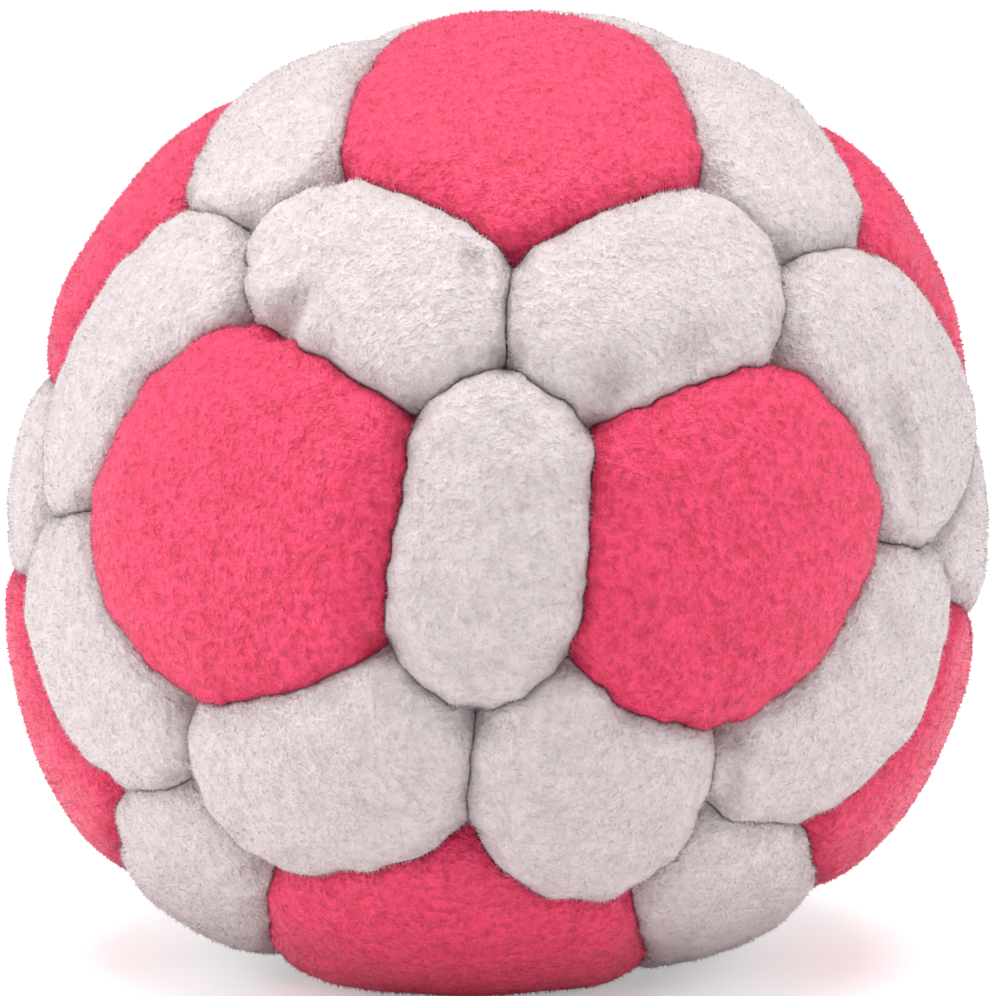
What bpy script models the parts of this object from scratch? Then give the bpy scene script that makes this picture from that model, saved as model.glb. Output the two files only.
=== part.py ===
"""A footbag: a ball of twelve pentagons and thirty hexagons of plush, sewn round a loose filling.

The ball stands settled on a floor at z = 0, seen from -Y as it lies after being set down. Each
panel is a shell of plush whose crown is pushed out by the filling, whose shoulder is drawn in by
the stitches, and whose edge is turned inwards as the seam allowance. The lashing thread runs
over the ends of the allowances, and the filling takes up what is left inside.
"""
import math

import bmesh
import bpy
from mathutils import Euler, Vector

# The ball as a whole, in metres. The radius is the mean one, to the crown of a panel.
BALL_RADIUS = 0.0270
CENTRE_HEIGHT = 0.0255
BASE_CUT = 0.0005

# How a panel is cut and sewn.
FABRIC_THICKNESS = 0.0009
SHOULDER_WIDTH = 0.0044
SHOULDER_DROP = 0.0016
ALLOWANCE_WIDTH = 0.0018
SEAM_GAP = 0.0003
SEAM_CLEARANCE = 0.0003
THREAD_THICKNESS = 0.0006

# A pentagon's corners, seen from the ball's centre, stand this far from its middle.
PENTAGON_ANGLE = math.radians(24.3)
# How the ball has come to rest, turned from the even layout with a vertex at the top.
RESTING_TURN = Euler([math.radians(angle) for angle in (26.0, -3.75, 14.75)])

# How far the filling pushes the ball off its round shape, in shares of the ball's radius:
# outwards halfway up and down, outwards below the middle, and over to one side.
SQUARE_SHARE = 0.150
SAG_SHARE = 0.077
LEAN_SHARE = 0.042
# How gently the side turns into the flat underneath.
BASE_SOFTNESS_SHARE = 0.03

# Hand sewing leaves some seams off their even places. Each row is a place, as degrees round
# from the front and degrees up, and how far its seams are drawn sideways and upwards there.
DRIFT_SHARES = (
    (42, -33, -0.179, 0.063),
    (-60, 2, -0.022, -0.048),
    (42, 33, -0.044, 0.004),
    (-2, -40, -0.008, -0.039),
    (-52, -32, 0.082, 0.030),
    (-35, 25, 0.077, -0.003),
    (0, 84, -0.036, 0.257),
    (85, 10, 0.200, 0.002),
    (110, 15, 0.150, 0.000),
    (45, -70, 0.102, 0.037),
    (-60, -64, -0.129, 0.041),
    (66, -12, -0.105, 0.071),
    (70, -52, 0.030, 0.042),
)
DRIFT_REACH = math.radians(20)
# The cloth's own stretch bows single seams in the same way, over a shorter reach.
BOW_SHARES = (
    (-50, 19, -0.060, 0.050),
    (-50, -6, -0.045, -0.015),
    (-27, -12, 0.000, -0.030),
    (46, -11, 0.013, -0.049),
    (48, 12, 0.054, 0.003),
    (22, -16, -0.054, -0.014),
    (10, -36, -0.016, -0.045),
    (-19, -34, 0.018, -0.008),
    (-69, -18, -0.031, -0.029),
    (68, -2, -0.032, -0.050),
    (-70, 6, 0.025, -0.034),
    (-34, 52, 0.036, -0.034),
    (76, 9, 0.120, 0.010),
    (71, 24, 0.060, 0.030),
    (66, -25, 0.110, -0.020),
    (75, -13, 0.030, 0.030),
)
BOW_REACH = math.radians(11)

# Where the rings of a panel's shoulder lie, in shares of its width, and how much the shoulder may
# take of the way to the middle of a panel, or to where its rings would close up a short seam.
PANEL_RING_SHARES = (0.20, 0.40, 0.70, 1.0)
LAND_RING_SHARES = (0.20, 0.45, 1.0)
SHOULDER_LIMIT_SHARE = 0.8

# A seam beside a pentagon is the longer kind and bows the most, so it has more steps.
LONG_SEAM_STEPS = 2
SHORT_SEAM_STEPS = 1
# Edges that turn more than this are folds of the cloth, and are shaded sharp.
FOLD_ANGLE = math.radians(50)

PINK = (0.91, 0.065, 0.155)
PALE_GREY = (0.79, 0.75, 0.75)
THREAD_WHITE = (0.80, 0.78, 0.76)
PELLET_WHITE = (0.66, 0.65, 0.62)


def new_collection(name):
    collection = bpy.data.collections.new(name)
    bpy.context.scene.collection.children.link(collection)
    return collection


def new_material(name, colour, roughness):
    material = bpy.data.materials.new(name)
    material.use_nodes = True
    shader = material.node_tree.nodes["Principled BSDF"]
    shader.inputs["Base Color"].default_value = (*colour, 1.0)
    shader.inputs["Roughness"].default_value = roughness
    shader.inputs["Metallic"].default_value = 0.0
    return material


def new_object(name, bm, material, place, parent, collection):
    """An object whose mesh was modelled about the ball's centre and is hung at its own place."""
    bmesh.ops.translate(bm, verts=bm.verts, vec=-place)
    mesh = bpy.data.meshes.new(name)
    bm.to_mesh(mesh)
    bm.free()
    mesh.materials.append(material)
    mesh.shade_smooth()
    mesh.set_sharp_from_angle(angle=FOLD_ANGLE)
    piece = bpy.data.objects.new(name, mesh)
    piece.location = place
    piece.parent = parent
    collection.objects.link(piece)
    return piece


# The settled shape of the ball.

def settled_radius(direction):
    """How far the crown of the ball is from its centre along a unit direction."""
    across, height = direction.x, direction.z
    level = 1 - height ** 2
    swell = (1 + SQUARE_SHARE * level * height ** 2 - SAG_SHARE * level * height
             + LEAN_SHARE * across * height)
    round_side = 1 / swell
    flat_base = -height * BALL_RADIUS / (CENTRE_HEIGHT + BASE_CUT)
    blend = math.hypot(round_side - flat_base, BASE_SOFTNESS_SHARE)
    return BALL_RADIUS * 2 / (round_side + flat_base + blend)


def drifted(direction):
    """A seam's direction after hand sewing has drawn it off its even place."""
    moved = direction.copy()
    for shares, reach in ((DRIFT_SHARES, DRIFT_REACH), (BOW_SHARES, BOW_REACH)):
        for azimuth, height, sideways, upwards in shares:
            azimuth, height = math.radians(azimuth), math.radians(height)
            side = Vector((math.cos(azimuth), math.sin(azimuth), 0))
            out = Vector((math.sin(azimuth), -math.cos(azimuth), 0))
            place = out * math.cos(height) + Vector((0, 0, math.sin(height)))
            up = place.cross(side)
            pull = math.exp(-(direction.angle(place) / reach) ** 2)
            moved += (side * sideways + up * upwards) * pull
    return moved.normalized()


# The layout of the panels. An icosphere's vertices are their middles, five faces round each
# pentagon and six round each hexagon, and each of its faces is a corner where three panels meet.

def corner_of(face):
    """The direction of the corner in an icosphere's face, and whether a pentagon has it."""
    middle = face.calc_center_median().normalized()
    for vert in face.verts:
        if len(vert.link_edges) == 5:
            centre = vert.co.normalized()
            outwards = (middle - centre * middle.dot(centre)).normalized()
            corner = centre * math.cos(PENTAGON_ANGLE) + outwards * math.sin(PENTAGON_ANGLE)
            return corner, True
    return middle, False


def panel_corners():
    """The corners of each panel, anticlockwise from outside, from the top panel down."""
    bm = bmesh.new()
    bmesh.ops.create_icosphere(bm, subdivisions=2, radius=1.0)
    bmesh.ops.rotate(bm, verts=bm.verts, matrix=RESTING_TURN.to_matrix())
    panels = []
    for vert in bm.verts:
        centre = vert.co.normalized()
        side = centre.orthogonal().normalized()
        ahead = centre.cross(side)
        panels.append(sorted(
            (corner_of(face) for face in vert.link_faces),
            key=lambda corner: math.atan2(corner[0].dot(ahead), corner[0].dot(side)),
        ))
    bm.free()
    return sorted(panels, key=lambda corners: -middle_of(corners).z)


def middle_of(corners):
    return sum((direction for direction, _ in corners), Vector()).normalized()


def seam_loop(corners):
    """The points round a panel: their direction, and the inward normals of the seams there."""
    points = []
    for (start, start_on_pentagon), (end, end_on_pentagon) in zip(corners, corners[1:] + corners[:1]):
        beside_pentagon = start_on_pentagon and end_on_pentagon
        steps = LONG_SEAM_STEPS if beside_pentagon else SHORT_SEAM_STEPS
        points += [drifted(start.slerp(end, step / steps)) for step in range(steps)]
    normals = [start.cross(end).normalized() for start, end in zip(points, points[1:] + points[:1])]
    return [(point, normals[index - 1], normals[index]) for index, point in enumerate(points)]


def shoulder_width(loop):
    """The shoulder's width on a panel, which its middle and its shortest seams limit."""
    middle = sum((direction for direction, _, _ in loop), Vector()).normalized()
    reach = min(middle.angle(direction) for direction, _, _ in loop) * settled_radius(middle)
    for (start, before, along), (end, _, after) in zip(loop, loop[1:] + loop[:1]):
        closing = math.tan(before.angle(along) / 2) + math.tan(along.angle(after) / 2)
        reach = min(reach, start.angle(end) * settled_radius(middle) / closing)
    return min(SHOULDER_WIDTH, SHOULDER_LIMIT_SHARE * reach)


def ring(loop, inset, depth):
    """The loop moved in from the seams by inset and down from the crown's surface by depth."""
    points = []
    for direction, seam_before, seam_after in loop:
        share = inset / (settled_radius(direction) - depth)
        inwards = (seam_before + seam_after) * share / (1 + seam_before.dot(seam_after))
        moved = inwards + direction * math.sqrt(1 - inwards.length_squared)
        points.append(moved * (settled_radius(moved) - depth))
    return points


def shoulder_depth(inset, width):
    """How far the plush lies under the crown's surface at a distance from the seam."""
    share = max(0.0, 1 - inset / width)
    return SHOULDER_DROP * (1 - math.sqrt(1 - share ** 2))


def offset_profile(inset, width, distance):
    """The point of the shoulder's profile at inset, moved square to it into the ball."""
    share = max(0.0, 1 - inset / width)
    fall = SHOULDER_DROP / width * share / math.sqrt(1 - share ** 2)
    length = math.hypot(1, fall)
    return inset + distance * fall / length, shoulder_depth(inset, width) + distance / length


def loft(bm, rings):
    """Rings of vertices joined by quads, and the last one closed by a low crown."""
    for lower, upper in zip(rings, rings[1:]):
        for index in range(len(lower)):
            after = (index + 1) % len(lower)
            bm.faces.new((lower[index], lower[after], upper[after], upper[index]))
    return bm.faces.new(rings[-1])


def crown(bm, faces, depth):
    """Each face closed by a fan whose middle is raised to the crown's surface, less depth."""
    middles = bmesh.ops.poke(bm, faces=faces)["verts"]
    for vert in middles:
        direction = vert.co.normalized()
        vert.co = direction * (settled_radius(direction) - depth)
    return middles


# The panels.

SEAM_INSET = SEAM_GAP / 2
FOLD_DEPTH = shoulder_depth(SEAM_INSET, SHOULDER_WIDTH)
ALLOWANCE_END = FOLD_DEPTH + ALLOWANCE_WIDTH


def sew_panel(name, loop, material, parent, collection):
    """A shell of plush: crown, shoulder, and the allowance turned in along the seams."""
    bm = bmesh.new()
    width = shoulder_width(loop)
    sizes = [(SEAM_INSET, ALLOWANCE_END), (SEAM_INSET, FOLD_DEPTH)]
    for share in PANEL_RING_SHARES:
        inset = width * share
        sizes.append((inset, shoulder_depth(inset, width)))
    rings = [[bm.verts.new(point) for point in ring(loop, inset, depth)]
             for inset, depth in sizes]
    top = crown(bm, [loft(bm, rings)], depth=0.0)[0]
    panel = new_object(name, bm, material, top.co.copy(), parent, collection)
    wall = panel.modifiers.new("fabric_thickness", "SOLIDIFY")
    wall.thickness = FABRIC_THICKNESS
    wall.offset = -1
    return panel


def cut_base(panel, cutter):
    """The floor's flat, pressed into a panel that the ball stands on."""
    cut = panel.modifiers.new("base", "BOOLEAN")
    cut.operation = "DIFFERENCE"
    cut.solver = "EXACT"
    cut.object = cutter


# The thread lies over the ends of the allowances, and the filling keeps clear of both.

THREAD_DEPTH = ALLOWANCE_END + SEAM_CLEARANCE + THREAD_THICKNESS / 2
GROOVE_DEPTH = THREAD_DEPTH + THREAD_THICKNESS / 2 + SEAM_CLEARANCE
LAND_CLEARANCE = FABRIC_THICKNESS + SEAM_CLEARANCE
JOIN_DISTANCE = SEAM_GAP / 10


def join_seams(bm):
    """Faces that meet along a seam share its vertices."""
    bmesh.ops.remove_doubles(bm, verts=bm.verts, dist=JOIN_DISTANCE)


def lash_thread(loops, material, parent, collection):
    """The thread as one net along all the seams, as wide as it is thick."""
    bm = bmesh.new()
    for loop in loops:
        rings = [[bm.verts.new(point) for point in ring(loop, inset, THREAD_DEPTH)]
                 for inset in (0.0, THREAD_THICKNESS / 2)]
        bm.faces.remove(loft(bm, rings))
    join_seams(bm)
    thread = new_object("seam_thread", bm, material, Vector(), parent, collection)
    lashing = thread.modifiers.new("lashing", "SOLIDIFY")
    lashing.thickness = THREAD_THICKNESS
    lashing.offset = 0
    return thread


def pour_filling(loops, material, parent, collection):
    """The filling as one body, with a crowned land under each panel and grooves between them."""
    bm = bmesh.new()
    tops = []
    for loop in loops:
        width = shoulder_width(loop)
        sizes = [(0.0, GROOVE_DEPTH), (SEAM_INSET + LAND_CLEARANCE, GROOVE_DEPTH)]
        for share in LAND_RING_SHARES:
            sizes.append(offset_profile(width * share, width, LAND_CLEARANCE))
        rings = [[bm.verts.new(point) for point in ring(loop, inset, depth)]
                 for inset, depth in sizes]
        tops.append(loft(bm, rings))
    crown(bm, tops, LAND_CLEARANCE)
    join_seams(bm)
    return new_object("pellet_filling", bm, material, Vector(), parent, collection)


# The bag put together.

for old in list(bpy.data.objects):
    bpy.data.objects.remove(old)

footbag = new_collection("footbag")
cutters = new_collection("cutters")

pink_plush = new_material("pink_plush", PINK, roughness=0.95)
grey_plush = new_material("grey_plush", PALE_GREY, roughness=0.95)
thread_white = new_material("thread_white", THREAD_WHITE, roughness=0.70)
pellet_white = new_material("pellet_white", PELLET_WHITE, roughness=0.50)

ball_centre = bpy.data.objects.new("ball_centre", None)
ball_centre.location = (0, 0, CENTRE_HEIGHT)
footbag.objects.link(ball_centre)

bpy.ops.mesh.primitive_cube_add(size=1)
floor_block = bpy.context.object
floor_block.name = "floor_block"
floor_block.scale = (2 * BALL_RADIUS, 2 * BALL_RADIUS, BALL_RADIUS)
floor_block.location = (0, 0, -BALL_RADIUS / 2)
floor_block.hide_render = True
floor_block.display_type = "WIRE"
for collection in floor_block.users_collection:
    collection.objects.unlink(floor_block)
cutters.objects.link(floor_block)

panels = panel_corners()
loops = [seam_loop(corners) for corners in panels]
sewn = {"pentagon": 0, "hexagon": 0}
for corners, loop in zip(panels, loops):
    kind, plush = ("pentagon", pink_plush) if len(corners) == 5 else ("hexagon", grey_plush)
    sewn[kind] += 1
    panel = sew_panel(f"{kind}_panel_{sewn[kind]:02d}", loop, plush, ball_centre, footbag)
    lowest = min(vert.co.z for vert in panel.data.vertices) + panel.location.z
    if lowest < -CENTRE_HEIGHT:
        cut_base(panel, floor_block)

lash_thread(loops, thread_white, ball_centre, footbag)
pour_filling(loops, pellet_white, ball_centre, footbag)
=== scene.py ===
"""A footbag: twelve pink pentagons and thirty pale grey hexagons of plush, sewn into a ball.

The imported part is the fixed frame. Each patch of plush, the thread and the filling are made here
in the space of their nodes, and then the floor, the lamps and the camera are set round them.
"""
import math

import bmesh
import bpy
import numpy as np
from mathutils import Euler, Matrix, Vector, noise
from mathutils.bvhtree import BVHTree


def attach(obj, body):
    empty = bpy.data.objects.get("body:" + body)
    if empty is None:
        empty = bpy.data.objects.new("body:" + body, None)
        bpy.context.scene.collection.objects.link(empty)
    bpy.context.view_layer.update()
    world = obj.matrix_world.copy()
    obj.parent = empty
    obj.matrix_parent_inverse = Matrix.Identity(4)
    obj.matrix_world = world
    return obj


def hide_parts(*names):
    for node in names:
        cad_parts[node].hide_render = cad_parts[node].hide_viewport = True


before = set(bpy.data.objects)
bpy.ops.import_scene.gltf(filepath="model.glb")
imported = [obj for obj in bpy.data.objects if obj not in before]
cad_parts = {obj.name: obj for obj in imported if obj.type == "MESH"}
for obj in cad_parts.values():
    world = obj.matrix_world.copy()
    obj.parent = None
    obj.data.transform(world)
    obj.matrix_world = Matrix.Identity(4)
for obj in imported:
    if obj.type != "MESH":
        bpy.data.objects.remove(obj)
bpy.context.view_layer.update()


# The twelve pink pentagons. Each is cut from one piece of polyester plush with a short, dense
# pile. Its edges are turned in as a seam allowance and sewn to the five patches round it, and the
# pellets behind push its crown out between the seams.

BALL_RADIUS = 0.0270
CENTRE_HEIGHT = 0.0255
BASE_CUT = 0.0005
BALL_CENTRE = np.array((0, 0, CENTRE_HEIGHT))

PENTAGON_ANGLE = math.radians(24.3)
RESTING_TURN = Euler([math.radians(angle) for angle in (26.0, -3.75, 14.75)])
SQUARE_SHARE = 0.150
SAG_SHARE = 0.077
LEAN_SHARE = 0.042
BASE_SOFTNESS_SHARE = 0.03
DRIFT_SHARES = (
    (42, -33, -0.179, 0.063),
    (-60, 2, -0.022, -0.048),
    (42, 33, -0.044, 0.004),
    (-2, -40, -0.008, -0.039),
    (-52, -32, 0.082, 0.030),
    (-35, 25, 0.077, -0.003),
    (0, 84, -0.036, 0.257),
    (85, 10, 0.200, 0.002),
    (110, 15, 0.150, 0.000),
    (45, -70, 0.102, 0.037),
    (-60, -64, -0.129, 0.041),
    (66, -12, -0.105, 0.071),
    (70, -52, 0.030, 0.042),
)
DRIFT_REACH = math.radians(20)
# The cloth's own stretch bows single seams in the same way, over a shorter reach.
BOW_SHARES = (
    (-50, 19, -0.060, 0.050),
    (-50, -6, -0.045, -0.015),
    (-27, -12, 0.000, -0.030),
    (46, -11, 0.013, -0.049),
    (48, 12, 0.054, 0.003),
    (22, -16, -0.054, -0.014),
    (10, -36, -0.016, -0.045),
    (-19, -34, 0.018, -0.008),
    (-69, -18, -0.031, -0.029),
    (68, -2, -0.032, -0.050),
    (-70, 6, 0.025, -0.034),
    (-34, 52, 0.036, -0.034),
    (76, 9, 0.120, 0.010),
    (71, 24, 0.060, 0.030),
    (66, -25, 0.110, -0.020),
    (75, -13, 0.030, 0.030),
)
BOW_REACH = math.radians(11)


def settled_radius(ways):
    """How far the crown of the ball is from its centre along each unit direction."""
    across, height = ways[:, 0], ways[:, 2]
    level = 1 - height ** 2
    swell = (1 + SQUARE_SHARE * level * height ** 2 - SAG_SHARE * level * height
             + LEAN_SHARE * across * height)
    round_side = 1 / swell
    flat_base = -height * BALL_RADIUS / (CENTRE_HEIGHT + BASE_CUT)
    blend = np.hypot(round_side - flat_base, BASE_SOFTNESS_SHARE)
    return BALL_RADIUS * 2 / (round_side + flat_base + blend)


def towards(azimuth, height):
    """The unit direction at degrees round from the front and degrees up."""
    azimuth, height = math.radians(azimuth), math.radians(height)
    level = math.cos(height)
    return np.array((math.sin(azimuth) * level, -math.cos(azimuth) * level, math.sin(height)))


def unit(ways):
    return ways / np.linalg.norm(ways, axis=-1, keepdims=True)


def drifted(ways):
    """Seam directions after hand sewing has drawn them off their even places."""
    moved = ways.copy()
    for shares, reach in ((DRIFT_SHARES, DRIFT_REACH), (BOW_SHARES, BOW_REACH)):
        for azimuth, height, sideways, upwards in shares:
            place = towards(azimuth, height)
            side = towards(azimuth + 90, 0)
            away = np.arccos(np.clip(ways @ place, -1, 1))
            pull = np.exp(-(away / reach) ** 2)
            moved += pull[:, None] * (side * sideways + np.cross(place, side) * upwards)
    return unit(moved)


def slerp(start, end, shares):
    """Directions along the arc from start to end."""
    angle = math.acos(np.clip(start @ end, -1, 1))
    early = np.sin((1 - shares) * angle) / math.sin(angle)
    late = np.sin(shares * angle) / math.sin(angle)
    return early[:, None] * start + late[:, None] * end


def corner_of(face):
    """The even direction of the corner in an icosphere's face."""
    middle = face.calc_center_median().normalized()
    for vert in face.verts:
        if len(vert.link_edges) == 5:
            centre = vert.co.normalized()
            outwards = (middle - centre * middle.dot(centre)).normalized()
            return centre * math.cos(PENTAGON_ANGLE) + outwards * math.sin(PENTAGON_ANGLE)
    return middle


def patch_corners():
    """The corners of each patch, anticlockwise from outside, from the top patch down."""
    bm = bmesh.new()
    bmesh.ops.create_icosphere(bm, subdivisions=2, radius=1.0)
    bmesh.ops.rotate(bm, verts=bm.verts, matrix=RESTING_TURN.to_matrix())
    patches = []
    for vert in bm.verts:
        centre = vert.co.normalized()
        side = centre.orthogonal().normalized()
        ahead = centre.cross(side)
        corners = sorted((corner_of(face) for face in vert.link_faces),
                         key=lambda corner: math.atan2(corner.dot(ahead), corner.dot(side)))
        patches.append([np.array(corner) for corner in corners])
    bm.free()
    return sorted(patches, key=lambda corners: -unit(sum(corners))[2])


# How a patch is cut: its cloth lies a little inside the settled ball, so that the pile fills it
# out, and drops in a rounded shoulder along its seams and into a small pit at each corner.
CLOTH_THICKNESS = 0.00055
PILE_DEPTH = 0.00008
SHOULDER_WIDTH = 0.0042
SHOULDER_DROP = 0.00145
SHOULDER_LIMIT_SHARE = 0.9
CORNER_POWER = 2.0
CORNER_PIT = 0.0013
CORNER_REACH = 0.0009
SEAM_INSET = 0.00003
NEAREST_SEAM = 0.0000075
ALLOWANCE_END = 0.0030
SEAM_STEP = 0.0005
MIDDLE_SPREAD = 0.12
MIDDLE_TRIES = 7
MIDDLE_ROUNDS = 6
CLOTH_RINGS = 25
ALLOWANCE_RINGS = 3

# The stitches pull a seam a little off its line, and the pellets press low swells into the crown.
SEAM_STRAY = 0.00022
STRAY_LENGTH = 0.0024
SEAM_RIPPLE = 0.00024
RIPPLE_LENGTH = 0.0010
NOISE_CHANNELS = (0.0, 17.0, 31.0)
SWELL_HEIGHT = 0.00022
SWELL_LENGTH = 0.0055
PUCKER_DEPTH = 0.00030
PUCKER_LENGTH = 0.0019

# Tucks and dents: degrees round and up, how deep, how long and how wide in degrees, and its tilt.
TUCKS = (
    (-30.2, 30.3, 0.00140, 4.0, 1.9, 45),
    (-3.2, 37.9, 0.00090, 2.6, 1.3, 105),
    (13.9, 22.5, 0.00090, 3.2, 2.2, 60),
    (24.9, 25.7, 0.00075, 3.2, 2.2, 50),
    (56.5, 12.5, 0.00095, 7.0, 1.9, 97),
    (52.5, 15.5, 0.00060, 4.5, 1.5, 88),
    (29.5, -23.5, 0.00060, 2.6, 0.9, 85),
    (50.9, -7.5, 0.00055, 3.2, 1.4, -55),
    (9.7, 41.7, 0.00045, 2.4, 1.6, 40),
)


def noise_at(ways, length, channel=0.0):
    """A smooth random number from -1 to 1 for each direction, at a size on the ball's surface."""
    scale = BALL_RADIUS / length
    return np.array([noise.noise(Vector(way) * scale + Vector((channel, 0, 0)))
                     for way in ways])


def seams_of(corners):
    """The seams round a patch, each as directions from its start up to its end."""
    seams = []
    for start, end in zip(corners, corners[1:] + corners[:1]):
        steps = max(2, round(math.acos(start @ end) * BALL_RADIUS / SEAM_STEP))
        seam = drifted(slerp(start, end, np.arange(steps) / steps))
        for amount, length in ((SEAM_STRAY, STRAY_LENGTH), (SEAM_RIPPLE, RIPPLE_LENGTH)):
            wander = [noise_at(seam, length, channel) for channel in NOISE_CHANNELS]
            seam = unit(seam + np.stack(wander, 1) * (amount / BALL_RADIUS))
        seams.append(seam)
    return seams


def seam_distances(ways, seams):
    """How far each direction is from each seam, along the ball's surface."""
    distances = []
    for seam, following in zip(seams, seams[1:] + seams[:1]):
        ends = np.vstack((seam[1:], following[:1]))
        run = ends - seam
        lead = ways[:, None, :] - seam
        share = np.clip((lead * run).sum(2) / (run * run).sum(1), 0, 1)
        miss = lead - share[:, :, None] * run
        distances.append(np.linalg.norm(miss, axis=2).min(1) * BALL_RADIUS)
    return np.stack(distances, 1)


def tuck_depth(ways):
    """How far the tucks and dents press the cloth in."""
    depth = np.zeros(len(ways))
    for azimuth, height, deep, length, width, tilt in TUCKS:
        place = towards(azimuth, height)
        side = towards(azimuth + 90, 0)
        up = np.cross(place, side)
        tilt = math.radians(tilt)
        along = np.degrees(ways @ (side * math.cos(tilt) + up * math.sin(tilt)))
        across = np.degrees(ways @ (up * math.cos(tilt) - side * math.sin(tilt)))
        near = np.exp(-(along / length) ** 2 - (across / width) ** 2)
        depth += np.where(ways @ place > 0, near * deep, 0)
    return depth


def cloth_points(ways, seams, width, sunk=0.0):
    """Points of the cloth, drawn in along the seams and deeper still at the corners.

    sunk is the share of the way down from there to the allowance's end.
    """
    crowding = (np.maximum(seam_distances(ways, seams), NEAREST_SEAM) ** -CORNER_POWER).sum(1)
    share = np.clip(1 - crowding ** (-1 / CORNER_POWER) / width, 0, 1)
    drop = SHOULDER_DROP * (1 - np.sqrt(1 - share ** 2))
    for seam in seams:
        away = np.linalg.norm(ways - seam[0], axis=1) * BALL_RADIUS
        drop += CORNER_PIT * np.exp(-(away / CORNER_REACH) ** 2)
    swell = noise_at(ways, SWELL_LENGTH) * SWELL_HEIGHT
    pucker = noise_at(ways, PUCKER_LENGTH) * PUCKER_DEPTH * share
    drop = PILE_DEPTH + drop - swell - pucker + tuck_depth(ways)
    out = settled_radius(ways) - drop * (1 - sunk) - ALLOWANCE_END * sunk
    points = ways * out[:, None] + BALL_CENTRE
    points[:, 2] = np.maximum(points[:, 2], PILE_DEPTH)
    return points


def middle_of(seam_line):
    """The direction inside a patch that lies farthest behind every bit of its seams.

    Straight lines from it reach each seam without crossing another, on a bowed patch too.
    """
    inwards = unit(np.cross(seam_line, np.roll(seam_line, -1, axis=0)))
    middle = unit(seam_line.mean(0))
    spread = MIDDLE_SPREAD
    for _ in range(MIDDLE_ROUNDS):
        side = unit(np.cross(middle, (0, 0, 1)))
        up = np.cross(middle, side)
        steps = np.linspace(-spread, spread, MIDDLE_TRIES)
        tries = [unit(middle + side * across + up * along) for across in steps for along in steps]
        middle = tries[np.argmax([(inwards @ way).min() for way in tries])]
        spread /= MIDDLE_TRIES // 2
    return middle


def cut_patch(name, seams):
    """The cloth of one patch as a closed wall: crown, shoulder and turned-in allowance."""
    seam_line = np.vstack(seams)
    middle = middle_of(seam_line)
    inside = np.vstack((middle[None], unit(seam_line + middle)))
    reach = seam_distances(inside, seams).min(1).max()
    width = min(SHOULDER_WIDTH, SHOULDER_LIMIT_SHARE * reach)
    around = len(seam_line)
    first = SEAM_INSET / reach
    edge = unit(seam_line * (1 - first) + middle * first)
    rings = []
    for index in range(ALLOWANCE_RINGS):
        rings.append(cloth_points(edge, seams, width, 1 - index / ALLOWANCE_RINGS))
    for index in range(CLOTH_RINGS):
        share = 1 - math.cos(math.pi / 2 * index / CLOTH_RINGS)
        rings.append(cloth_points(unit(edge * (1 - share) + middle * share), seams, width))
    points = np.vstack(rings + [cloth_points(middle[None], seams, width)])
    faces = []
    for ring in range(len(rings) - 1):
        for index in range(around):
            after = (index + 1) % around
            lower, upper = ring * around, (ring + 1) * around
            faces.append((lower + index, lower + after, upper + after, upper + index))
    last = (len(rings) - 1) * around
    for index in range(around):
        faces.append((last + index, last + (index + 1) % around, len(points) - 1))
    mesh = bpy.data.meshes.new(name)
    mesh.from_pydata(points, [], faces)
    pile = np.ones(len(points), np.float32)
    pile[:ALLOWANCE_RINGS * around] = 0
    mesh.attributes.new("pile", "FLOAT", "POINT").data.foreach_set("value", pile)
    mesh.shade_smooth()
    patch = bpy.data.objects.new(name, mesh)
    bpy.context.scene.collection.objects.link(patch)
    patch.vertex_groups.new(name="lining")
    wall = patch.modifiers.new("cloth_thickness", "SOLIDIFY")
    wall.thickness = CLOTH_THICKNESS
    wall.offset = -1
    wall.shell_vertex_group = "lining"
    wall.rim_vertex_group = "lining"
    return patch


def step(tree, kind, inputs=None, **settings):
    """A node of a tree with its settings, and its inputs linked or set."""
    node = tree.nodes.new(kind)
    for name, value in settings.items():
        setattr(node, name, value)
    for key, value in (inputs or {}).items():
        if isinstance(value, bpy.types.NodeSocket):
            tree.links.new(value, node.inputs[key])
        else:
            node.inputs[key].default_value = value
    return node


def sums(tree, operation, first, second):
    return step(tree, "ShaderNodeMath", {0: first, 1: second}, operation=operation).outputs[0]


def vectors(tree, operation, first, second):
    node = step(tree, "ShaderNodeVectorMath", {0: first}, operation=operation)
    key = "Scale" if operation == "SCALE" else 1
    if isinstance(second, bpy.types.NodeSocket):
        tree.links.new(second, node.inputs[key])
    else:
        node.inputs[key].default_value = second
    return node.outputs[0]


FLOOR_CLEARANCE = 0.00002
PLANTING_SHARE = 1.6
CROWN_SLOPE = (0.80, 0.97)
SEAM_SLOPE = (0.3, 0.9)
FIBRE_GROWTH = (0.65, 1.15)


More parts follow.
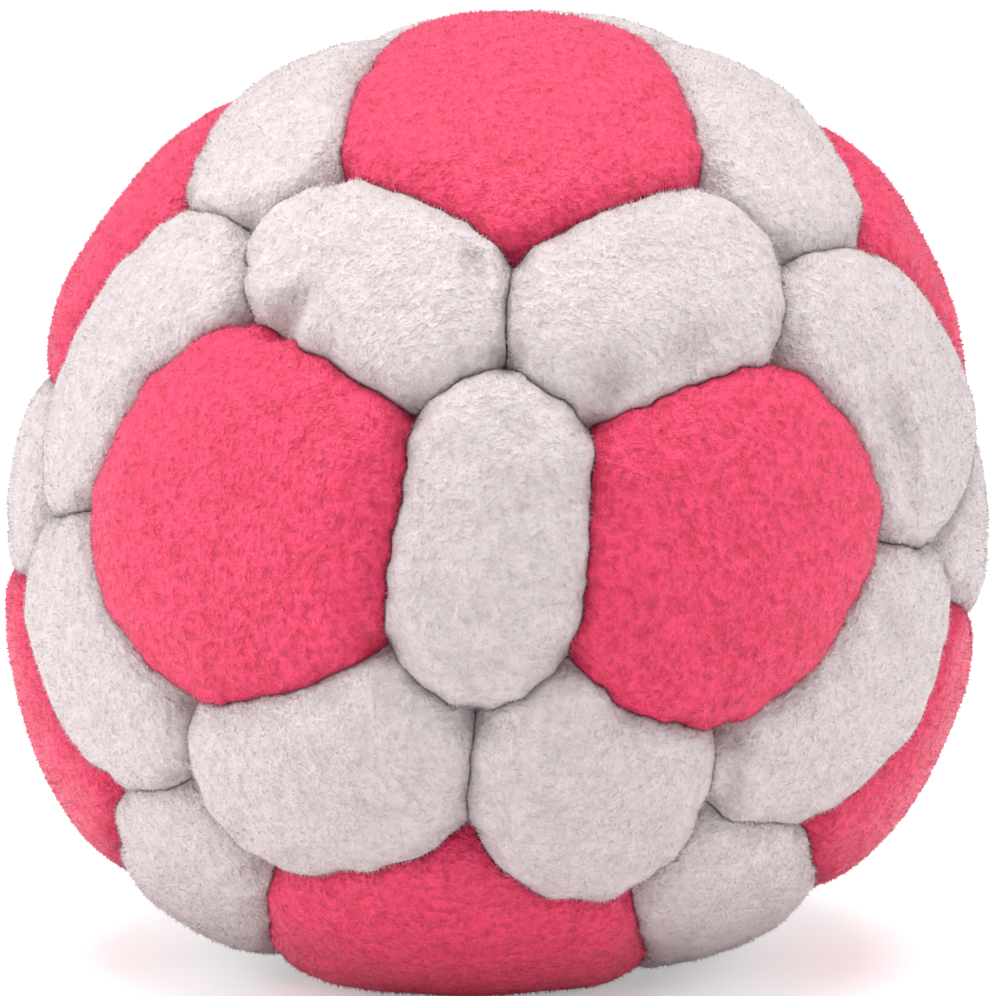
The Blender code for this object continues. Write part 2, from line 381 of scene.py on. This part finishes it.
def pile_tree():
    """The tree that plants the pile: short tapered fibres that lean together into tufts."""
    tree = bpy.data.node_groups.new("plush_pile", "GeometryNodeTree")
    sockets = tree.interface
    sockets.new_socket("Cloth", in_out="INPUT", socket_type="NodeSocketGeometry")
    for name in ("Fibre Length", "Fibre Radius", "Fibre Spacing", "Tuft Size", "Tuft Pull",
                 "Comb Length", "Comb Pull", "Stray", "Seam Length Share", "Crown Share"):
        sockets.new_socket(name, in_out="INPUT", socket_type="NodeSocketFloat")
    sockets.new_socket("Ball Centre", in_out="INPUT", socket_type="NodeSocketVector")
    sockets.new_socket("Seed", in_out="INPUT", socket_type="NodeSocketInt")
    sockets.new_socket("Plush", in_out="INPUT", socket_type="NodeSocketMaterial")
    sockets.new_socket("Patch", in_out="OUTPUT", socket_type="NodeSocketGeometry")
    given = step(tree, "NodeGroupInput").outputs

    pile = step(tree, "GeometryNodeInputNamedAttribute", {"Name": "pile"}, data_type="FLOAT")
    lining = step(tree, "GeometryNodeInputNamedAttribute", {"Name": "lining"}, data_type="FLOAT")
    share = sums(tree, "SUBTRACT", pile.outputs[0], lining.outputs[0])
    place = step(tree, "GeometryNodeInputPosition").outputs[0]
    outwards = vectors(tree, "SUBTRACT", place, given["Ball Centre"])
    outwards = step(tree, "ShaderNodeVectorMath", {0: outwards}, operation="NORMALIZE").outputs[0]
    slope = step(tree, "ShaderNodeVectorMath", {
        0: outwards, 1: step(tree, "GeometryNodeInputNormal").outputs[0],
    }, operation="DOT_PRODUCT").outputs["Value"]
    thinning = step(tree, "ShaderNodeMapRange", {
        "Value": slope, "From Min": CROWN_SLOPE[0], "From Max": CROWN_SLOPE[1], "To Min": 1.0,
        "To Max": given["Crown Share"],
    }).outputs[0]
    share = sums(tree, "MULTIPLY", share, thinning)
    density = sums(tree, "POWER", given["Fibre Spacing"], 2.0)
    density = sums(tree, "DIVIDE", PLANTING_SHARE, density)
    planted = step(tree, "GeometryNodeDistributePointsOnFaces", {
        "Mesh": given["Cloth"], "Distance Min": given["Fibre Spacing"], "Density Max": density,
        "Density Factor": share, "Seed": given["Seed"],
    }, distribute_method="POISSON")

    tufts = step(tree, "ShaderNodeTexVoronoi", {
        "Vector": place, "Scale": sums(tree, "DIVIDE", 1.0, given["Tuft Size"]),
    })
    comb = step(tree, "ShaderNodeTexNoise", {
        "Vector": place, "Scale": sums(tree, "DIVIDE", 1.0, given["Comb Length"]),
        "Detail": 1.0,
    })
    stray = step(tree, "FunctionNodeRandomValue", {
        0: (-1.0, -1.0, -1.0), 1: (1.0, 1.0, 1.0), "Seed": 1,
    }, data_type="FLOAT_VECTOR")
    pull = sums(tree, "DIVIDE", given["Tuft Pull"], given["Tuft Size"])
    lean = vectors(tree, "SUBTRACT", tufts.outputs["Position"], place)
    lean = vectors(tree, "SCALE", lean, pull)
    sway = vectors(tree, "SUBTRACT", comb.outputs["Color"], (0.5, 0.5, 0.5))
    sway = vectors(tree, "SCALE", sway, given["Comb Pull"])
    lean = vectors(tree, "ADD", lean, sway)
    lean = vectors(tree, "ADD", lean, vectors(tree, "SCALE", stray.outputs[0], given["Stray"]))
    facing = step(tree, "ShaderNodeVectorMath", {0: outwards, 1: planted.outputs["Normal"]},
                  operation="DOT_PRODUCT").outputs["Value"]
    points = step(tree, "GeometryNodeStoreNamedAttribute", {
        "Geometry": planted.outputs["Points"], "Name": "facing", "Value": facing,
    }, data_type="FLOAT", domain="POINT")
    points = step(tree, "GeometryNodeStoreNamedAttribute", {
        "Geometry": points.outputs[0], "Name": "tuft",
        "Value": tufts.outputs["Distance"],
    }, data_type="FLOAT", domain="POINT")
    tone = step(tree, "FunctionNodeRandomValue", {"Seed": 2}, data_type="FLOAT")
    points = step(tree, "GeometryNodeStoreNamedAttribute", {
        "Geometry": points.outputs[0], "Name": "fibre", "Value": tone.outputs[1],
    }, data_type="FLOAT", domain="POINT")
    points = step(tree, "GeometryNodeStoreNamedAttribute", {
        "Geometry": points.outputs[0], "Name": "cloth_normal",
        "Value": planted.outputs["Normal"],
    }, data_type="FLOAT_VECTOR", domain="POINT")
    captured = step(tree, "GeometryNodeStoreNamedAttribute", {
        "Geometry": points.outputs[0], "Name": "way",
        "Value": vectors(tree, "ADD", planted.outputs["Normal"], lean),
    }, data_type="FLOAT_VECTOR", domain="POINT")
    way = step(tree, "GeometryNodeInputNamedAttribute", {"Name": "way"}, data_type="FLOAT_VECTOR")

    fibre = step(tree, "GeometryNodeMeshCone", {
        "Vertices": 3, "Side Segments": 1, "Radius Top": 0.0, "Radius Bottom": 1.0, "Depth": 1.0,
    }, fill_type="NGON")
    height = step(tree, "ShaderNodeSeparateXYZ", {0: place}).outputs["Z"]
    fibre = step(tree, "GeometryNodeStoreNamedAttribute", {
        "Geometry": fibre.outputs["Mesh"], "Name": "tip", "Value": height,
    }, data_type="FLOAT", domain="POINT")
    spin = step(tree, "FunctionNodeRandomValue", {2: 0.0, 3: math.tau, "Seed": 3},
                data_type="FLOAT")
    turned = step(tree, "FunctionNodeAxisAngleToRotation", {
        "Axis": (0.0, 0.0, 1.0), "Angle": spin.outputs[1],
    })
    turned = step(tree, "FunctionNodeAlignRotationToVector", {
        "Rotation": turned.outputs[0], "Vector": way.outputs[0],
    }, axis="Z")
    growth = step(tree, "FunctionNodeRandomValue", {
        2: FIBRE_GROWTH[0], 3: FIBRE_GROWTH[1], "Seed": 4,
    }, data_type="FLOAT")
    facing = step(tree, "GeometryNodeInputNamedAttribute", {"Name": "facing"}, data_type="FLOAT")
    facing = step(tree, "ShaderNodeMapRange", {
        "Value": facing.outputs[0], "From Min": SEAM_SLOPE[0], "From Max": SEAM_SLOPE[1],
        "To Min": given["Seam Length Share"], "To Max": 1.0,
    })
    length = sums(tree, "MULTIPLY", given["Fibre Length"], growth.outputs[1])
    length = sums(tree, "MULTIPLY", length, facing.outputs[0])
    size = step(tree, "ShaderNodeCombineXYZ", {
        "X": given["Fibre Radius"], "Y": given["Fibre Radius"], "Z": length,
    })
    fibres = step(tree, "GeometryNodeInstanceOnPoints", {
        "Points": captured.outputs[0], "Instance": fibre.outputs[0],
        "Rotation": turned.outputs[0], "Scale": size.outputs[0],
    })
    joined = step(tree, "GeometryNodeJoinGeometry")
    tree.links.new(fibres.outputs[0], joined.inputs[0])
    tree.links.new(given["Cloth"], joined.inputs[0])
    real = step(tree, "GeometryNodeRealizeInstances", {"Geometry": joined.outputs[0]})
    pressed = step(tree, "ShaderNodeSeparateXYZ", {0: place})
    floor = step(tree, "ShaderNodeCombineXYZ", {
        "X": pressed.outputs["X"], "Y": pressed.outputs["Y"],
        "Z": sums(tree, "MAXIMUM", pressed.outputs["Z"], FLOOR_CLEARANCE),
    })
    rested = step(tree, "GeometryNodeSetPosition", {
        "Geometry": real.outputs[0], "Position": floor.outputs[0],
    })
    finished = step(tree, "GeometryNodeSetMaterial", {
        "Geometry": rested.outputs[0], "Material": given["Plush"],
    })
    step(tree, "NodeGroupOutput", {"Patch": finished.outputs[0]})
    return tree


def set_input(modifier, name, value):
    """Sets a tree's named input on the modifier that uses it."""
    for item in modifier.node_group.interface.items_tree:
        if item.item_type == "SOCKET" and item.in_out == "INPUT" and item.name == name:
            modifier[item.identifier] = value


# The pile: short fibres that lean into tufts, thinner on the crown, where curls take their place.
FIBRE_LENGTH = 0.00024
FIBRE_RADIUS = 0.000026
FIBRE_SPACING = 0.000130
TUFT_SIZE = 0.00055
TUFT_PULL = 0.55
COMB_LENGTH = 0.0022
COMB_PULL = 0.9
STRAY = 0.8
SEAM_LENGTH_SHARE = 1.4
CROWN_SHARE = 0.35
NORMAL_SHARE = 0.95


def raise_pile(patch, seed, plush):
    """Plants the pile on a patch, and leaves the patch as one plain mesh."""
    pile = patch.modifiers.new("pile", "NODES")
    pile.node_group = planting
    for name, value in (
        ("Fibre Length", FIBRE_LENGTH), ("Fibre Radius", FIBRE_RADIUS),
        ("Fibre Spacing", FIBRE_SPACING), ("Tuft Size", TUFT_SIZE), ("Tuft Pull", TUFT_PULL),
        ("Comb Length", COMB_LENGTH), ("Comb Pull", COMB_PULL), ("Stray", STRAY),
        ("Seam Length Share", SEAM_LENGTH_SHARE), ("Crown Share", CROWN_SHARE),
        ("Ball Centre", BALL_CENTRE.tolist()), ("Seed", seed), ("Plush", plush),
    ):
        set_input(pile, name, value)
    bpy.context.view_layer.update()
    graph = bpy.context.evaluated_depsgraph_get()
    mesh = bpy.data.meshes.new_from_object(patch.evaluated_get(graph), depsgraph=graph)
    patch.modifiers.clear()
    patch.vertex_groups.clear()
    patch.data = mesh
    mesh.name = patch.name
    mesh.shade_smooth()
    count = len(mesh.vertices)
    own = np.empty(count * 3, np.float32)
    mesh.vertices.foreach_get("normal", own)
    own = own.reshape(-1, 3)
    cloth = np.zeros(count * 3, np.float32)
    mesh.attributes["cloth_normal"].data.foreach_get("vector", cloth)
    cloth = cloth.reshape(-1, 3)
    normals = cloth * NORMAL_SHARE + own * (1 - NORMAL_SHARE)
    normals[np.abs(cloth).sum(1) == 0] = own[np.abs(cloth).sum(1) == 0]
    normals /= np.linalg.norm(normals, axis=1)[:, None]
    mesh.normals_split_custom_set_from_vertices(normals)


TIP_POWER = 0.6
# Fibres darken towards the edges of their tufts: a painted shade in the gaps between the tufts.
TUFT_GAP_SHADE = {"From Min": 0.25, "From Max": 0.75, "To Min": 1.0, "To Max": 0.86}
FIBRE_TONE = {"To Min": 0.93, "To Max": 1.05}
CLOUD_SCALE = 700.0
CLOUD_TONE = {"From Min": 0.3, "From Max": 0.7, "To Min": 0.94, "To Max": 1.05}
CURL_SIZE = 0.00048
CURL_DEPTH = 0.00037
CURL_ROUGHNESS = 0.65
CURL_EDGE = {"From Min": 0.36, "From Max": 0.60}
PLUSH_ROUGHNESS = 0.42
PLUSH_SPECULAR = 0.5
SHEEN_WEIGHT = 0.06
SHEEN_ROUGHNESS = 0.5
SHEEN_TINT = (1.0, 0.90, 0.92, 1)

# Part of the light passes through the fine fibres, this far.
GLOW_WEIGHT = 0.7
GLOW_DEPTH = 0.00007


def plush_material(name, deep, root, tip):
    """Plush: a painted shade between the curls and in the gaps between tufts, a lighter painted
    shade deep in the pile at the fibres' roots, palest at their tips.
    """
    plush = bpy.data.materials.new(name)
    plush.use_nodes = True
    tree = plush.node_tree
    shader = tree.nodes["Principled BSDF"]
    tips = step(tree, "ShaderNodeAttribute", attribute_name="tip").outputs["Fac"]
    tuft = step(tree, "ShaderNodeAttribute", attribute_name="tuft").outputs["Fac"]
    fibre = step(tree, "ShaderNodeAttribute", attribute_name="fibre").outputs["Fac"]
    # Darker towards the fibres' roots and on the bare cloth under them: a painted shade deep in
    # the pile.
    colour = step(tree, "ShaderNodeMix", {
        0: sums(tree, "POWER", tips, TIP_POWER), 6: (*root, 1), 7: (*tip, 1),
    }, data_type="RGBA").outputs[2]
    # Painted shade in the gaps between tufts, darker away from each tuft's centre.
    tuft_gap_shade = step(tree, "ShaderNodeMapRange", {"Value": tuft, **TUFT_GAP_SHADE}).outputs[0]
    vary = step(tree, "ShaderNodeMapRange", {"Value": fibre, **FIBRE_TONE}).outputs[0]
    place = step(tree, "ShaderNodeTexCoord").outputs["Object"]
    clouds = step(tree, "ShaderNodeTexNoise", {
        "Vector": place, "Scale": CLOUD_SCALE, "Detail": 2.0,
    }).outputs["Fac"]
    wide = step(tree, "ShaderNodeMapRange", {"Value": clouds, **CLOUD_TONE}).outputs[0]
    # The curls: this noise bumps the plush, and its low places take the deep colour, a painted
    # shade between the curls.
    grain = step(tree, "ShaderNodeTexNoise", {
        "Vector": place, "Scale": 1 / CURL_SIZE, "Detail": 3.0, "Roughness": CURL_ROUGHNESS,
    }).outputs["Fac"]
    crest = step(tree, "ShaderNodeMapRange", {"Value": grain, **CURL_EDGE}).outputs[0]
    colour = step(tree, "ShaderNodeMix", {0: crest, 6: (*deep, 1), 7: colour},
                  data_type="RGBA").outputs[2]
    # The painted shade in the tuft gaps, times the fibres' random tone and the random cloud tone.
    gap_shade_and_tone = sums(tree, "MULTIPLY", sums(tree, "MULTIPLY", tuft_gap_shade, vary), wide)
    colour = vectors(tree, "SCALE", colour, gap_shade_and_tone)
    tree.links.new(colour, shader.inputs["Base Color"])
    curls = step(tree, "ShaderNodeBump", {
        "Height": grain, "Strength": 1.0, "Distance": CURL_DEPTH,
    })
    tree.links.new(curls.outputs[0], shader.inputs["Normal"])
    shader.inputs["Roughness"].default_value = PLUSH_ROUGHNESS
    shader.inputs["Specular IOR Level"].default_value = PLUSH_SPECULAR
    shader.inputs["Sheen Weight"].default_value = SHEEN_WEIGHT
    shader.inputs["Sheen Roughness"].default_value = SHEEN_ROUGHNESS
    shader.inputs["Sheen Tint"].default_value = SHEEN_TINT
    shader.subsurface_method = "BURLEY"
    shader.inputs["Subsurface Weight"].default_value = GLOW_WEIGHT
    shader.inputs["Subsurface Radius"].default_value = (1, 1, 1)
    shader.inputs["Subsurface Scale"].default_value = GLOW_DEPTH
    return plush


planting = pile_tree()
patches = [seams_of(corners) for corners in patch_corners()]
SEED_STEP = 100


def sew_patches(kind, corner_count, plush):
    """All the patches of one kind, each in its node's place."""
    number = 0
    for seams in patches:
        if len(seams) == corner_count:
            number += 1
            node = f"{kind}_panel_{number:02d}"
            patch = cut_patch(f"{kind}_patch_{number:02d}", seams)
            raise_pile(patch, number + SEED_STEP * corner_count, plush)
            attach(patch, "root")
            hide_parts(node)


# The deep pink is a painted shade between the curls, the root pink a lighter painted shade deep in
# the pile, and the tip pink the plush's own colour.
PINK_CURL_SHADE = (0.60, 0.007, 0.058)
PINK_SHADED_ROOT = (0.83, 0.031, 0.127)
PINK_TIP = (0.92, 0.108, 0.270)
pink_plush = plush_material("pink_plush", PINK_CURL_SHADE, PINK_SHADED_ROOT, PINK_TIP)
sew_patches("pentagon", 5, pink_plush)


# The thirty grey hexagons, of the same plush in a pale grey. They are cut, turned in and sewn as
# the pentagons are, and each lies between two pentagons and four other hexagons.

# The deep grey is a painted shade between the curls, the root grey a lighter painted shade deep in
# the pile, and the tip grey the plush's own colour.
GREY_CURL_SHADE = (0.570, 0.486, 0.495)
GREY_SHADED_ROOT = (0.653, 0.573, 0.580)
GREY_TIP = (0.737, 0.659, 0.666)
grey_plush = plush_material("grey_plush", GREY_CURL_SHADE, GREY_SHADED_ROOT, GREY_TIP)
sew_patches("hexagon", 6, grey_plush)


# The sewing thread: two plies of white polyester, twisted and sewn by hand. It is whipped over the
# ends of two turned-in allowances along each of the 120 seams, inside the ball.

THREAD_DEPTH = 0.0036
THREAD_RADIUS = 0.00009
WHIP_RADIUS = 0.00020
WHIP_LENGTH = 0.0012
WHIP_STEPS = 8
THREAD_SIDES = 5
PLIES = 2


def whip(seam, end):
    """The rings of one seam's thread: points, and at each the painted light and shade of its
    plies, pale on their crests and dark in the hollows between them.
    """
    ways = np.vstack((seam, end))
    deep = settled_radius(ways) - THREAD_DEPTH
    line = ways * deep[:, None] + BALL_CENTRE
    so_far = np.concatenate(((0.0,), np.cumsum(np.linalg.norm(np.diff(line, axis=0), axis=1))))
    turns = round(so_far[-1] / WHIP_LENGTH)
    share = np.linspace(0, 1, turns * WHIP_STEPS + 1)
    middle = np.stack([np.interp(share * so_far[-1], so_far, line[:, axis])
                       for axis in range(3)], 1)
    out = unit(middle - BALL_CENTRE)
    run = unit(np.gradient(middle, axis=0))
    side = np.cross(out, run)
    turn = (share * turns * math.tau)[:, None]
    spoke = out * np.cos(turn) + side * np.sin(turn)
    path = middle + spoke * WHIP_RADIUS
    ahead = unit(np.gradient(path, axis=0))
    across = unit(spoke - ahead * (spoke * ahead).sum(1, keepdims=True))
    beside = np.cross(ahead, across)
    around = np.arange(THREAD_SIDES) * math.tau / THREAD_SIDES
    rings = (path[:, None] + across[:, None] * (THREAD_RADIUS * np.cos(around))[None, :, None]
             + beside[:, None] * (THREAD_RADIUS * np.sin(around))[None, :, None])
    ply_shading = 0.5 + 0.5 * np.cos(around[None, :] * PLIES + turn)
    return rings, ply_shading


points, ply_shading, faces = [], [], []
sewn = set()
for seams in patches:
    for seam, following in zip(seams, seams[1:] + seams[:1]):
        ends = frozenset(tuple(np.round(corner, 4)) for corner in (seam[0], following[0]))
        if ends not in sewn:
            sewn.add(ends)
            rings, bright = whip(seam, following[:1])
            first = sum(len(part) for part in points)
            points.append(rings.reshape(-1, 3))
            ply_shading.append(bright.reshape(-1))
            for ring in range(len(rings) - 1):
                lower = first + ring * THREAD_SIDES
                for index in range(THREAD_SIDES):
                    after = (index + 1) % THREAD_SIDES
                    faces.append((lower + index, lower + after, lower + after + THREAD_SIDES,
                                  lower + index + THREAD_SIDES))
            last = first + (len(rings) - 1) * THREAD_SIDES
            faces.append(tuple(range(first + THREAD_SIDES - 1, first - 1, -1)))
            faces.append(tuple(range(last, last + THREAD_SIDES)))
mesh = bpy.data.meshes.new("whipped_thread")
mesh.from_pydata(np.vstack(points), [], faces)
mesh.attributes.new("ply_shading", "FLOAT", "POINT").data.foreach_set("value", np.concatenate(ply_shading))
mesh.shade_smooth()
thread = bpy.data.objects.new("whipped_thread", mesh)
bpy.context.scene.collection.objects.link(thread)

THREAD_FUZZ = 0.00004
# The hollow colour is a painted shade between the thread's plies; the crest colour is the thread's
# own white.
THREAD_HOLLOW_SHADE = (0.62, 0.60, 0.58, 1)
THREAD_CREST = (0.90, 0.88, 0.86, 1)
THREAD_ROUGHNESS = 0.6
polyester = bpy.data.materials.new("white_thread")
polyester.use_nodes = True
tree = polyester.node_tree
shader = tree.nodes["Principled BSDF"]
# Painted shade in the twist: dark where the plies meet, pale on their crests, with random fuzz on
# top.
plies = step(tree, "ShaderNodeAttribute", attribute_name="ply_shading").outputs["Fac"]
fuzz = step(tree, "ShaderNodeTexNoise", {
    "Vector": step(tree, "ShaderNodeTexCoord").outputs["Object"], "Scale": 1 / THREAD_FUZZ,
}).outputs["Fac"]
strand = sums(tree, "ADD", plies, fuzz)
colour = step(tree, "ShaderNodeMix", {
    0: sums(tree, "MULTIPLY", strand, 0.5), 6: THREAD_HOLLOW_SHADE, 7: THREAD_CREST,
}, data_type="RGBA").outputs[2]
tree.links.new(colour, shader.inputs["Base Color"])
twist = step(tree, "ShaderNodeBump", {"Height": strand, "Strength": 1.0, "Distance": THREAD_FUZZ})
tree.links.new(twist.outputs[0], shader.inputs["Normal"])
shader.inputs["Roughness"].default_value = THREAD_ROUGHNESS
mesh.materials.append(polyester)
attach(thread, "root")
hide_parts("seam_thread")


# The filling: loose round pellets of milky moulded plastic. They are poured in before the last
# seam is closed, and nothing holds them but the sewn ball round them.

PELLET_RADIUS = 0.00145
PELLET_STEP = 0.0029
PELLET_SEGMENTS = 8
PELLET_RINGS = 5
PELLET_GROWTH = (0.92, 1.0)
SETTLING = 0.00004

solid = BVHTree.FromObject(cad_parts["pellet_filling"],
                           bpy.context.evaluated_depsgraph_get())
layer_step = PELLET_STEP * math.sqrt(2 / 3)
count = math.ceil(BALL_RADIUS / PELLET_STEP) + 2
shaken = np.random.default_rng(1)
places = []
for layer in range(-count, count + 1):
    for row in range(-count, count + 1):
        for column in range(-count, count + 1):
            across = column + row % 2 / 2 + layer % 2 / 2
            ahead = (row + layer % 2 / 3) * math.sqrt(3) / 2
            place = BALL_CENTRE + (across * PELLET_STEP, ahead * PELLET_STEP, layer * layer_step)
            place = place + shaken.uniform(-SETTLING, SETTLING, 3)
            skin, outwards, _, distance = solid.find_nearest(place)
            if distance > PELLET_RADIUS and (Vector(place) - skin).dot(outwards) < 0:
                places.append(place)
mesh = bpy.data.meshes.new("loose_pellets")
mesh.from_pydata(places, [], [])
pellets = bpy.data.objects.new("loose_pellets", mesh)
bpy.context.scene.collection.objects.link(pellets)

FROST_SIZE = 0.0004
FROST_DEPTH = 0.00003
PELLET_DARK = (0.58, 0.57, 0.54, 1)
PELLET_PALE = (0.78, 0.77, 0.75, 1)
PELLET_GLOSS = {"From Min": 0.3, "From Max": 0.7, "To Min": 0.35, "To Max": 0.6}
plastic = bpy.data.materials.new("white_pellet")
plastic.use_nodes = True
tree = plastic.node_tree
shader = tree.nodes["Principled BSDF"]
batch = step(tree, "ShaderNodeAttribute", attribute_name="batch").outputs["Fac"]
frost = step(tree, "ShaderNodeTexNoise", {
    "Vector": step(tree, "ShaderNodeTexCoord").outputs["Object"],
    "Scale": 1 / FROST_SIZE, "Detail": 3.0,
}).outputs["Fac"]
milky = sums(tree, "MULTIPLY", sums(tree, "ADD", batch, frost), 0.5)
colour = step(tree, "ShaderNodeMix", {0: milky, 6: PELLET_DARK, 7: PELLET_PALE},
              data_type="RGBA").outputs[2]
tree.links.new(colour, shader.inputs["Base Color"])
gloss = step(tree, "ShaderNodeMapRange", {"Value": frost, **PELLET_GLOSS}).outputs[0]
tree.links.new(gloss, shader.inputs["Roughness"])
dimples = step(tree, "ShaderNodeBump", {
    "Height": frost, "Strength": 1.0, "Distance": FROST_DEPTH,
})
tree.links.new(dimples.outputs[0], shader.inputs["Normal"])

tree = bpy.data.node_groups.new("pour_pellets", "GeometryNodeTree")
tree.interface.new_socket("Places", in_out="INPUT", socket_type="NodeSocketGeometry")
tree.interface.new_socket("Pellet Radius", in_out="INPUT", socket_type="NodeSocketFloat")
tree.interface.new_socket("Plastic", in_out="INPUT", socket_type="NodeSocketMaterial")
tree.interface.new_socket("Pellets", in_out="OUTPUT", socket_type="NodeSocketGeometry")
given = step(tree, "NodeGroupInput").outputs
pellet = step(tree, "GeometryNodeMeshUVSphere", {
    "Segments": PELLET_SEGMENTS, "Rings": PELLET_RINGS, "Radius": given["Pellet Radius"],
})
turn = step(tree, "FunctionNodeRandomValue", {1: (math.tau, math.tau, math.tau), "Seed": 1},
            data_type="FLOAT_VECTOR")
shrink = step(tree, "FunctionNodeRandomValue", {
    2: PELLET_GROWTH[0], 3: PELLET_GROWTH[1], "Seed": 2,
}, data_type="FLOAT")
batch = step(tree, "FunctionNodeRandomValue", {"Seed": 3}, data_type="FLOAT")
marked = step(tree, "GeometryNodeStoreNamedAttribute", {
    "Geometry": given["Places"], "Name": "batch", "Value": batch.outputs[1],
}, data_type="FLOAT", domain="POINT")
poured = step(tree, "GeometryNodeInstanceOnPoints", {
    "Points": marked.outputs[0], "Instance": pellet.outputs["Mesh"], "Rotation": turn.outputs[0],
    "Scale": shrink.outputs[1],
})
rounded = step(tree, "GeometryNodeSetShadeSmooth", {
    "Geometry": step(tree, "GeometryNodeRealizeInstances", {0: poured.outputs[0]}).outputs[0],
})
finished = step(tree, "GeometryNodeSetMaterial", {
    "Geometry": rounded.outputs[0], "Material": given["Plastic"],
})
step(tree, "NodeGroupOutput", {"Pellets": finished.outputs[0]})
pour = pellets.modifiers.new("pour", "NODES")
pour.node_group = tree
set_input(pour, "Pellet Radius", PELLET_RADIUS)
set_input(pour, "Plastic", plastic)
bpy.context.view_layer.update()
graph = bpy.context.evaluated_depsgraph_get()
mesh = bpy.data.meshes.new_from_object(pellets.evaluated_get(graph), depsgraph=graph)
pellets.modifiers.clear()
pellets.data = mesh
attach(pellets, "root")
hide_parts("pellet_filling")


# The plain pale floor, the white room, three soft lamps and the camera. They only stage the ball,
# and none of them is part of it.

FLOOR_SIZE = 6.0
FLOOR_WHITE = (0.9, 0.9, 0.9, 1)
FLOOR_GLOW = 0.35
bm = bmesh.new()
bmesh.ops.create_grid(bm, x_segments=1, y_segments=1, size=FLOOR_SIZE / 2)
mesh = bpy.data.meshes.new("floor")
bm.to_mesh(mesh)
bm.free()
floor = bpy.data.objects.new("floor", mesh)
bpy.context.scene.collection.objects.link(floor)
white = bpy.data.materials.new("white_floor")
white.use_nodes = True
tree = white.node_tree
tree.nodes.remove(tree.nodes["Principled BSDF"])
diffuse = step(tree, "ShaderNodeBsdfDiffuse", {"Color": FLOOR_WHITE})
seen = step(tree, "ShaderNodeLightPath").outputs["Is Camera Ray"]
glow = step(tree, "ShaderNodeEmission", {"Strength": sums(tree, "MULTIPLY", seen, FLOOR_GLOW)})
both = step(tree, "ShaderNodeAddShader", {0: diffuse.outputs[0], 1: glow.outputs[0]})
tree.links.new(both.outputs[0], tree.nodes["Material Output"].inputs["Surface"])
mesh.materials.append(white)

ROOM_LIGHT = 0.51
world = bpy.data.worlds.new("white_room")
bpy.context.scene.world = world
world.use_nodes = True
tree = world.node_tree
seen = step(tree, "ShaderNodeLightPath").outputs["Is Camera Ray"]
strength = sums(tree, "ADD", sums(tree, "MULTIPLY", seen, 1 - ROOM_LIGHT), ROOM_LIGHT)
tree.links.new(strength, tree.nodes["Background"].inputs["Strength"])
tree.nodes["Background"].inputs["Color"].default_value = (1, 1, 1, 1)


def hang_lamp(name, azimuth, height, distance, width, power):
    """A square soft lamp that faces the ball."""
    light = bpy.data.lights.new(name, "AREA")
    light.size = width
    light.energy = power
    lamp = bpy.data.objects.new(name, light)
    lamp.location = BALL_CENTRE + towards(azimuth, height) * distance
    lamp.rotation_euler = Vector(towards(azimuth, height)).to_track_quat("Z", "Y").to_euler()
    bpy.context.scene.collection.objects.link(lamp)


LAMP_DISTANCE = 0.6
LAMP_WIDTH = 0.5
TOP_POWER = 4.2
LEFT_POWER = 2.95
RIGHT_POWER = 1.7
hang_lamp("top_lamp", 0, 85, LAMP_DISTANCE, LAMP_WIDTH, TOP_POWER)
hang_lamp("left_lamp", -80, 15, LAMP_DISTANCE, LAMP_WIDTH, LEFT_POWER)
hang_lamp("right_lamp", 80, 20, LAMP_DISTANCE, LAMP_WIDTH, RIGHT_POWER)

CAMERA_DISTANCE = 0.432
CAMERA_HEIGHT = 10.0
CAMERA_LENS = 285.0
SENSOR_WIDTH = 36.0
CLIP_START = 0.01
AIM_LIFT = 0.00012
AIM = BALL_CENTRE + (0, 0, AIM_LIFT)
camera = bpy.data.objects.new("camera", bpy.data.cameras.new("camera"))
camera.data.sensor_width = SENSOR_WIDTH
camera.data.lens = CAMERA_LENS
camera.data.clip_start = CLIP_START
camera.location = AIM + towards(0, CAMERA_HEIGHT) * CAMERA_DISTANCE
camera.rotation_euler = Vector(towards(0, CAMERA_HEIGHT)).to_track_quat("Z", "Y").to_euler()
bpy.context.scene.collection.objects.link(camera)
bpy.context.scene.camera = camera
bpy.context.scene.view_settings.view_transform = "Standard"
